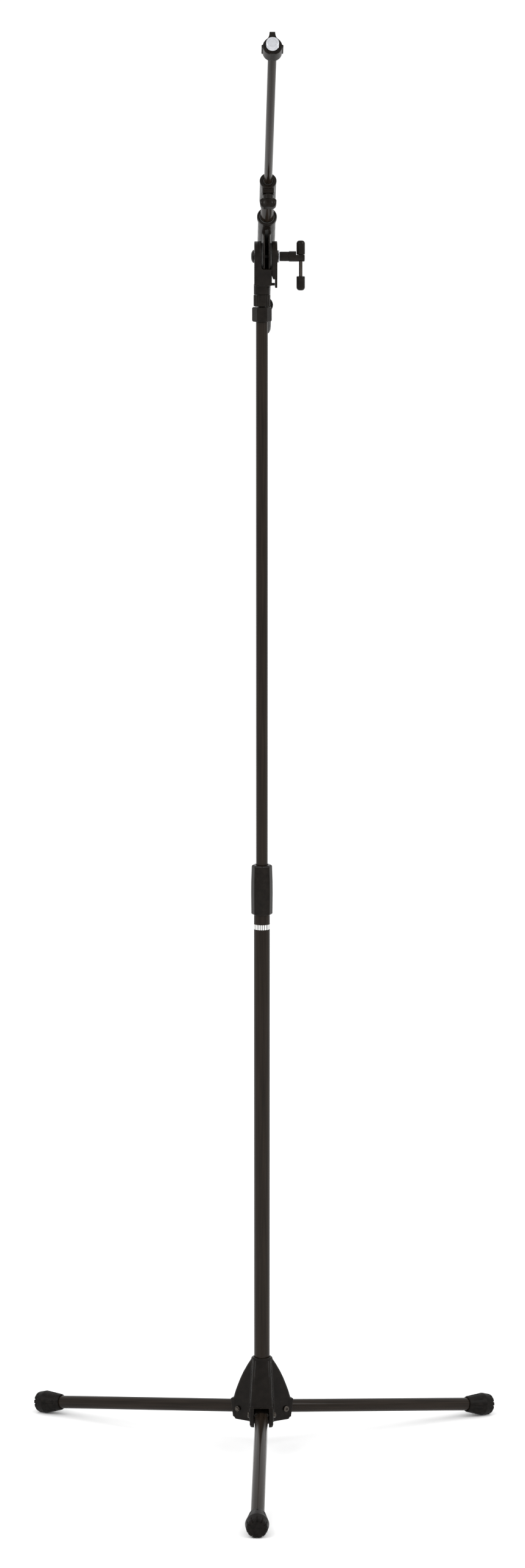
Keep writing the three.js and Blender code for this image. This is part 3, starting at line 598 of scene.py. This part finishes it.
def hub_handle(x, y, z):
    """The handle's barrel, thinner on the washer's side and flattened where the bar's cap sits."""
    out = np.hypot(y, z)
    barrel = both(out - through(x, (36.1, 6.5), (36.5, 7.05)), span(x, 23.6, 57.3), 1.1)
    barrel = without(barrel, both(2.1 - z, 45.8 - x), 0.5)
    return without(barrel, either(both(out - BOLT_HOLE, x - 46), round_(x - BAR_X, y, BAR_HOLE)), 0.3)


def bar_cap(name, sign, end):
    """A domed barrel cap, its bore open towards the handle; sign is the way it points."""
    length, radius = 19, 5.7
    form = [(BAR_HOLE, 0), (radius, 0, 2), (radius, length - 2.6, 2), (3.5, length, 2), (0, length)]
    form += [(0, length - 3), (BAR_HOLE, length - 3)]
    return turned(name, [(r, end - sign * (length - z), *rest) for r, z, *rest in form], 0.4, 48)


ACROSS = HEAD @ Matrix.Rotation(math.pi / 2, 4, "Y")  # z along the bolt
BAR = HEAD @ Matrix.Translation((BAR_X * MM, 0, 0))
piece("swivel_lock_ring", shaped("lock ring", (-12.5, -12.5, 1597), (12.5, 12.5, 1615), 0.3, lock_ring), POLE)
piece("tilter_base", shaped("tilter", (-12, -22, -52.5), (18.5, 22, 22), 0.35, tilter), HEAD)
piece("clamp_plate", shaped("clamp plate", (12.5, -22, -43), (23, 22, 22), 0.3, clamp), HEAD)
for node in ("friction_disc_left", "friction_disc_right"):
    z0, z1 = ((corner.x - pole.x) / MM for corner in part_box(node))
    piece(node, pipe("friction disc", BOLT_HOLE, 18, z0, z1, 0.15), ACROSS)
piece("tilt_bolt", turned("tilt bolt", [
    (0, -14.6), (3.6, -14.5, 1.2), (6.4, -13.6, 1.2), (8.4, -12, 1.2), (9, -10.6),
    (4, -10.6), (4, 45), (0, 45),
], 0.3, 64), ACROSS)
piece("handle_washer", pipe("washer", BOLT_HOLE, 8.2, 22.3, 23.4, 0.25), ACROSS)
piece("handle_hub", shaped("handle hub", (22.5, -8.5, -8.5), (58.5, 8.5, 8.5), 0.25, hub_handle), HEAD)
piece("t_bar", turned("bar", [(0, -42.1), (2.45, -42.1), (2.45, 18), (0, 18)], 0.4, 40), BAR)
piece("t_bar_cap_upper", bar_cap("upper cap", 1, 21.3), BAR)
piece("t_bar_cap_lower", bar_cap("lower cap", -1, -45.4), BAR)

# ---- boom: z along it, y away from the tilt bolt, the axis at the origin ----
FLANGE_R = 22.4


def holder(x, y, z):
    """The boom clamp: a sleeve with a ring at its mouth, on a slotted tongue that the tilter grips."""
    out = np.hypot(x, y)
    sleeve = both(out - 11.7, span(z, -40, 54), 0.9)
    ring = both(out - 13.2, span(z, 47, 54), 1.1)
    h = y + BOOM_OFFSET
    front = np.where(h > 0, z - FLANGE_R, round_(h, z, FLANGE_R))
    tongue = both(both(front, -15 - z, 2), span(h, -FLANGE_R - 1, BOOM_OFFSET - 6))
    web = both(tongue, np.abs(x) - 4.5, 0.7)
    body = either(either(sleeve, ring, 0.8), web, 2.2)
    slot = both(both(np.abs(x) - 2.5, span(h, -40, BOOM_OFFSET), 0.8), span(z, -12.5, 36.4), 2)
    body = without(body, slot, 0.4)
    return without(body, either(out - 10.6, round_(h, z, BOLT_HOLE)), 0.5)


def collar(x, y, z):
    """The sleeve on the end of the outer tube, with the square boss that its lock screw runs in."""
    out = np.hypot(x, y)
    form = through(z, (98, 9.9), (99.6, 10.8), (153.2, 10.8), (154.4, 11.1))
    sleeve = both(out - form, span(z, 98, 158.2), 0.9)
    boss = both(both(np.abs(x) - 7.85, span(z, 138, 154), 1.4), span(y, -15.2, 0), 0.8)
    body = either(sleeve, boss, 1.2)
    bore = either(both(out - 8.8, z - 153.2), out - 6.5)
    return without(body, either(bore, both(round_(x, z - KNOB_S, SCREW_HOLE), y)), 0.5)


def wing_knob(x, y, z):
    """A neck and a rounded paddle, scooped on both sides for finger and thumb; y runs back to the boom."""
    n, s = -y, z - KNOB_S
    neck = both(round_(x, s, 7.0) + 0.12 * np.abs(np.sin(8 * np.arctan2(s, x))), span(n, 15.6, 23), 0.7)
    paddle = both(np.abs(x) - through(n, (21, 9.6), (24, 11), (29, 10.7), (34, 9.2)), span(n, 21, 34), 3.6)
    scoop = 1.2 * np.exp(-((np.abs(x) - 7.2) / 2.6) ** 2) * np.exp(-((n - 28.5) / 4.5) ** 2)
    paddle = both(paddle, np.abs(s) - 4.5 + scoop, 1.4)
    return without(either(neck, paddle, 0.9), both(round_(x, s, SCREW_HOLE), n - 29), 0.3)


def lock_nut(x, y, z):
    """A round nut with a rib at each side, one finger wing on top and a flat recess below."""
    out = np.hypot(x, y)
    body = both(out - 12.1, span(z, 505, 523.5), 0.9)
    rib = both(both(np.abs(x) - 13.6, np.abs(y) - 1.9, 0.9), span(z, 505.5, 523), 0.6)
    half = through(y, (8.6, 7.6), (12, 5.2), (15, 4.1), (17, 3.8), (20, 3.6))
    finger = both(np.abs(x) - half, span(y, 7, 20), 0.7)
    finger = both(finger, span(z, 505.5, 523), 0.7)
    body = without(body, both(np.abs(x) - 3.5, y + 11.1, 0.4), 0.3)
    return without(either(either(body, rib, 0.6), finger, 1.0), out - STUD_HOLE, 0.4)


piece("boom_holder", shaped("holder", (-14.5, -57, -42), (14.5, 14.5, 56), 0.4, holder), BOOM)
piece("boom_holder_liner", pipe("holder liner", 8.8, 10.3, -39, 53), BOOM)
piece("boom_outer_tube", pipe("outer boom tube", 7.3, BOOM_R, -290, 152.8), BOOM)
piece("boom_collar", shaped("collar", (-12.5, -16.5, 97), (12.5, 12.5, 159.5), 0.35, collar), BOOM)
piece("boom_collar_liner", pipe("collar liner", 5.7, 6.2, 153.6, 157.8, 0.1), BOOM)
piece("boom_wing_knob", shaped("wing knob", (-12, -35.5, 137), (12, -14.5, 155), 0.3, wing_knob), BOOM)
# z towards the ground, along the lock screw
BELOW = BOOM @ Matrix.Translation((0, 0, KNOB_S * MM)) @ Matrix.Rotation(math.pi / 2, 4, "X")
piece("boom_lock_pad", turned("lock pad", [(0, 5.7), (2.6, 5.7), (2.6, 7.4), (0, 7.4)], 0.2, 32), BELOW)
piece("boom_lock_screw", turned("lock screw", [(0, 7.7), (2.9, 7.7), (2.9, 28.5), (0, 28.5)], 0.4, 32), BELOW)
piece("boom_inner_tube", pipe("inner boom tube", 4.4, INNER_R, 85, 504.4), BOOM)
piece("boom_inner_glide", pipe("inner glide", 5.7, 7, 86, 101, 0.2), BOOM)
piece("tip_lock_nut", shaped("lock nut", (-15, -14, 503.5), (15, 21.5, 525), 0.3, lock_nut), BOOM)
piece("tip_stud", turned("tip stud", [(0, 482.4), (4.1, 482.4), (4.1, 504.7), (4.99, 504.7), (4.99, 532),
                                      (0, 532)], 0.1, 72), BOOM)

ADAPTER_R = 7.94
ADAPTER_PITCH = 25.4 / 27
rows, wave = thread(ADAPTER_R, ADAPTER_PITCH, 524.6, 531.2)
form = [(STUD_HOLE, 523.8, 0.2), (ADAPTER_R, 523.8, 0.2), *[(r, z, 0) for r, z in rows]]
form += [(7.3, 532, 0.2), (STUD_HOLE, 532, 0)]
piece("thread_adapter", turned("thread adapter", form, 0.2, 72, wave), BOOM)

CAP_RIBS = 28


def cap_wave(angle, r, z):
    """Fine ribs along the tail cap's straight part."""
    return r - (0.22 * (0.5 + 0.5 * math.cos(CAP_RIBS * angle)) if r > 10.3 and -290 < z < -226 else 0)


piece("boom_tail_cap", turned("tail cap", [
    (0, -305), (5, -304.2, 2), (8.6, -301.6, 2), (10.2, -297.6, 2), (10.4, -289), (10.4, -284, 0),
    (10.4, -232, 0), (10.4, -223), (12.2, -222.4, 0.5), (12.5, -220.6, 0.5), (12.2, -219, 0.5),
    (8.8, -219), (8.8, -290.3), (0, -290.3),
], 0.4, 112, cap_wave), BOOM)

# ---- studio ----
def white_stage():
    """A pale floor that runs to the horizon."""
    size = 40
    mesh = bpy.data.meshes.new("floor")
    corners = [(-size, -size, 0), (size, -size, 0), (size, size, 0), (-size, size, 0)]
    mesh.from_pydata(corners, [], [(0, 1, 2, 3)])
    floor = bpy.data.objects.new("floor", mesh)
    bpy.context.scene.collection.objects.link(floor)
    paper = bpy.data.materials.new("white paper")
    paper.use_nodes = True
    shader = paper.node_tree.nodes["Principled BSDF"]
    shader.inputs["Base Color"].default_value = (0.94, 0.94, 0.94, 1)
    shader.inputs["Roughness"].default_value = 0.9
    shader.inputs["Specular IOR Level"].default_value = 0.0
    mesh.materials.append(paper)


def softbox(name, target, direction, distance, size, power):
    """A square area light that faces the target from a direction."""
    light = bpy.data.lights.new(name, "AREA")
    light.shape = "RECTANGLE"
    light.size, light.size_y = size
    light.energy = power
    lamp = bpy.data.objects.new(name, light)
    bpy.context.scene.collection.objects.link(lamp)
    away = Vector(direction).normalized()
    lamp.location = target + away * distance
    lamp.rotation_euler = (-away).to_track_quat("-Z", "Y").to_euler()


def camera():
    """The camera stands 6.2 m in front of the mast, a little to its left, and looks down on it."""
    yaw, pitch, distance, height, aside = math.radians(0.9), math.radians(9.55), 6.24, 1.9977, 0.0008
    data = bpy.data.cameras.new("camera")
    data.lens = 106.36
    eye = bpy.data.objects.new("camera", data)
    bpy.context.scene.collection.objects.link(eye)
    eye.location = (pole.x - distance * math.sin(yaw) + aside, pole.y - distance * math.cos(yaw), height)
    eye.rotation_euler = (math.pi / 2 - pitch, 0, -yaw)
    bpy.context.scene.camera = eye


white_stage()
camera()
world = bpy.data.worlds.new("white room")
bpy.context.scene.world = world
world.use_nodes = True
world.node_tree.nodes["Background"].inputs["Color"].default_value = (1, 1, 1, 1)
world.node_tree.nodes["Background"].inputs["Strength"].default_value = 1.12
centre = Vector((pole.x, pole.y, 1.0))
softbox("left softbox", centre, (-1.1, -0.9, 1.1), 4.0, (1.6, 2.4), 60)
softbox("right softbox", centre, (1.2, -0.8, 1.0), 4.0, (1.6, 2.4), 60)
bpy.context.scene.view_settings.view_transform = "Standard"
